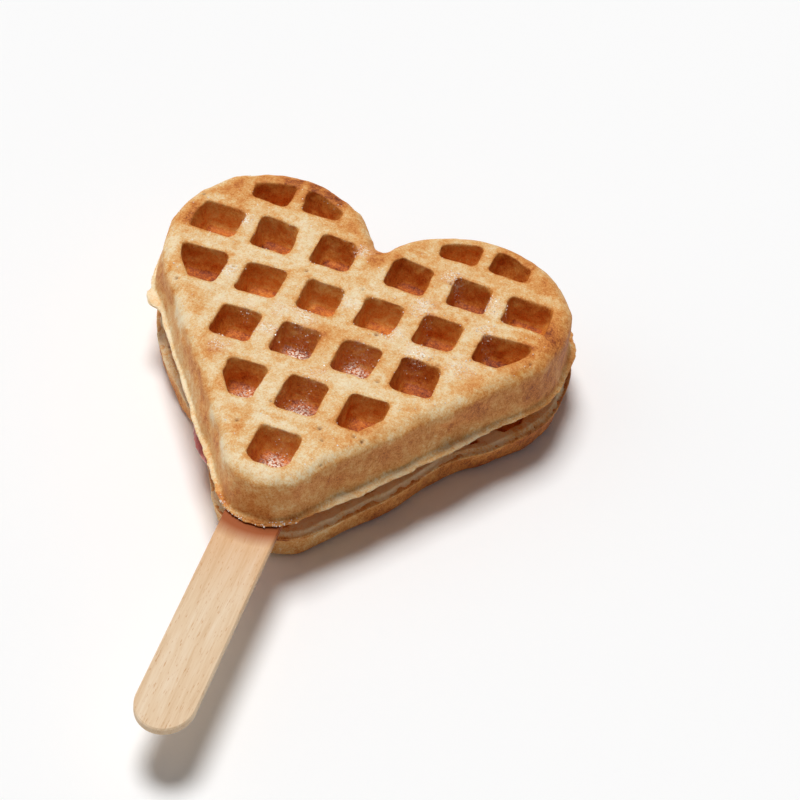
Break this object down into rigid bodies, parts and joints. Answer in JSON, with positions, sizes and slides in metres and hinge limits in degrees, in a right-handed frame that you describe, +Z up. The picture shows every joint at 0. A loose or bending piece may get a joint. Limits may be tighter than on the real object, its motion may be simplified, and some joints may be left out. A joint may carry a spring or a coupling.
{
  "type": "waffle sandwich on a stick",
  "caption": "Heart-shaped waffle sandwich with a square grid of pockets, fruit filling between the leaves and a flat wooden stick at the tip.",
  "frame": {"origin": "on the surface that the lower leaf rests on, under the rib that crosses the middle of the heart", "axes": "+Y from the tip of the heart towards its lobes, with the stick leaving along -Y; +Z up through the stack; +X to the right seen from above with the lobes away from the viewer"},
  "size_m": [0.1052, 0.1712, 0.03],
  "materials": {
    "upper_waffle": "matte",
    "lower_waffle": "matte",
    "filling": "gloss",
    "stick": "matte"
  },
  "bodies": {
    "lower": {"lower_waffle": "lower_waffle", "filling": "filling"},
    "upper": {"upper_waffle": "upper_waffle"},
    "stick": {"stick": "stick"}
  },
  "joints": [
    {"name": "upper_lift", "type": "slide", "parent": "lower", "child": "upper", "axis": [0, 0, 1], "range_m": [0, 0.05]},
    {"name": "stick_pull", "type": "slide", "parent": "upper", "child": "stick", "axis": [0.0366, -0.9993, 0], "range_m": [0, 0.052]}
  ]
}
